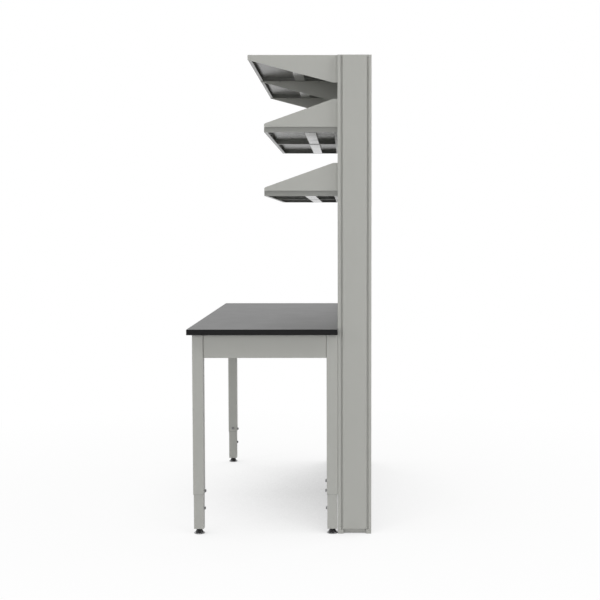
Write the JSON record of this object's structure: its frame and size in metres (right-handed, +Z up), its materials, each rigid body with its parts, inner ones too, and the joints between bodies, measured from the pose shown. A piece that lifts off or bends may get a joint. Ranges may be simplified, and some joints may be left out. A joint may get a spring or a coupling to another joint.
{
  "type": "laboratory bench",
  "caption": "Free-standing lab bench: dark worktop on telescopic square legs with levelling feet, against a steel core carrying a reagent shelf of tapered brackets and folded trays.",
  "frame": {"origin": "on the floor, under the middle of the whole bench", "axes": "+X along the worktop, +Y from the user towards the core, +Z up"},
  "size_m": [1.829, 0.824, 2.149],
  "materials": {
    "grey_paint": "fine textured powder coat, satin",
    "worktop_resin": "cast epoxy resin, satin",
    "zinc_plate": "bright zinc plate",
    "galvanised_steel": "galvanised, matte",
    "foot_black": "moulded nylon, satin"
  },
  "bodies": {
    "root": {"apron_bolts": "zinc_plate", "apron_front": "grey_paint", "apron_left": "grey_paint", "apron_rear": "grey_paint", "apron_right": "grey_paint", "core_rails": "galvanised_steel", "core_shoes": "grey_paint", "core_tie_bolts": "zinc_plate", "core_top_cap": "grey_paint", "core_upright_left": "grey_paint", "core_upright_middle": "grey_paint", "core_upright_right": "grey_paint", "cross_rail": "grey_paint", "end_cover_left": "grey_paint", "end_cover_right": "grey_paint", "front_panels_lower": "grey_paint", "front_panels_upper": "grey_paint", "leg_clamp_bolts": "zinc_plate", "leg_upper_front_left": "grey_paint", "leg_upper_front_right": "grey_paint", "leg_upper_rear_left": "grey_paint", "leg_upper_rear_right": "grey_paint", "low_shelf_gusset_left": "grey_paint", "low_shelf_gusset_middle": "grey_paint", "low_shelf_gusset_right": "grey_paint", "low_shelf_tray_left": "grey_paint", "low_shelf_tray_right": "grey_paint", "middle_shelf_gusset_left": "grey_paint", "middle_shelf_gusset_middle": "grey_paint", "middle_shelf_gusset_right": "grey_paint", "middle_shelf_tray_left": "grey_paint", "middle_shelf_tray_right": "grey_paint", "rear_panels": "grey_paint", "shelf_screws": "zinc_plate", "shelf_stiffeners": "galvanised_steel", "slotted_standards": "grey_paint", "top_shelf_bracket_left": "grey_paint", "top_shelf_bracket_middle": "grey_paint", "top_shelf_bracket_right": "grey_paint", "top_shelf_tray_left": "grey_paint", "top_shelf_tray_right": "grey_paint", "worktop": "worktop_resin", "worktop_screws": "zinc_plate"},
    "lower_leg_front_left": {"leg_lower_front_left": "grey_paint", "leg_stop_screw_front_left": "zinc_plate"},
    "foot_front_left": {"foot_pad_front_left": "foot_black"},
    "stud_front_left": {"foot_stud_front_left": "zinc_plate"},
    "lower_leg_front_right": {"leg_lower_front_right": "grey_paint", "leg_stop_screw_front_right": "zinc_plate"},
    "foot_front_right": {"foot_pad_front_right": "foot_black"},
    "stud_front_right": {"foot_stud_front_right": "zinc_plate"},
    "lower_leg_rear_left": {"leg_lower_rear_left": "grey_paint", "leg_stop_screw_rear_left": "zinc_plate"},
    "foot_rear_left": {"foot_pad_rear_left": "foot_black"},
    "stud_rear_left": {"foot_stud_rear_left": "zinc_plate"},
    "lower_leg_rear_right": {"leg_lower_rear_right": "grey_paint", "leg_stop_screw_rear_right": "zinc_plate"},
    "foot_rear_right": {"foot_pad_rear_right": "foot_black"},
    "stud_rear_right": {"foot_stud_rear_right": "zinc_plate"}
  },
  "joints": [
    {"name": "leg_slide_front_left", "type": "slide", "parent": "root", "child": "lower_leg_front_left", "axis": [0, 0, 1], "range_m": [-0.1, 0.055]},
    {"name": "foot_travel_front_left", "type": "slide", "parent": "lower_leg_front_left", "child": "foot_front_left", "axis": [0, 0, 1], "range_m": [-0.015, 0]},
    {"name": "stud_turn_front_left", "type": "hinge", "parent": "foot_front_left", "child": "stud_front_left", "pos_m": [-0.8475, -0.367, 0.05], "axis": [0, 0, 1], "range_deg": [-3600, 0]},
    {"name": "leg_slide_front_right", "type": "slide", "parent": "root", "child": "lower_leg_front_right", "axis": [0, 0, 1], "range_m": [-0.1, 0.055]},
    {"name": "foot_travel_front_right", "type": "slide", "parent": "lower_leg_front_right", "child": "foot_front_right", "axis": [0, 0, 1], "range_m": [-0.015, 0]},
    {"name": "stud_turn_front_right", "type": "hinge", "parent": "foot_front_right", "child": "stud_front_right", "pos_m": [0.8475, -0.367, 0.05], "axis": [0, 0, 1], "range_deg": [-3600, 0]},
    {"name": "leg_slide_rear_left", "type": "slide", "parent": "root", "child": "lower_leg_rear_left", "axis": [0, 0, 1], "range_m": [-0.1, 0.055]},
    {"name": "foot_travel_rear_left", "type": "slide", "parent": "lower_leg_rear_left", "child": "foot_rear_left", "axis": [0, 0, 1], "range_m": [-0.015, 0]},
    {"name": "stud_turn_rear_left", "type": "hinge", "parent": "foot_rear_left", "child": "stud_rear_left", "pos_m": [-0.8475, 0.2358, 0.05], "axis": [0, 0, 1], "range_deg": [-3600, 0]},
    {"name": "leg_slide_rear_right", "type": "slide", "parent": "root", "child": "lower_leg_rear_right", "axis": [0, 0, 1], "range_m": [-0.1, 0.055]},
    {"name": "foot_travel_rear_right", "type": "slide", "parent": "lower_leg_rear_right", "child": "foot_rear_right", "axis": [0, 0, 1], "range_m": [-0.015, 0]},
    {"name": "stud_turn_rear_right", "type": "hinge", "parent": "foot_rear_right", "child": "stud_rear_right", "pos_m": [0.8475, 0.2358, 0.05], "axis": [0, 0, 1], "range_deg": [-3600, 0]}
  ],
  "couplings": [
    {"joint": "stud_turn_front_left", "follows": "foot_travel_front_left", "rad_per_m": 4188.8},
    {"joint": "stud_turn_front_right", "follows": "foot_travel_front_right", "rad_per_m": 4188.8},
    {"joint": "stud_turn_rear_left", "follows": "foot_travel_rear_left", "rad_per_m": 4188.8},
    {"joint": "stud_turn_rear_right", "follows": "foot_travel_rear_right", "rad_per_m": 4188.8}
  ]
}
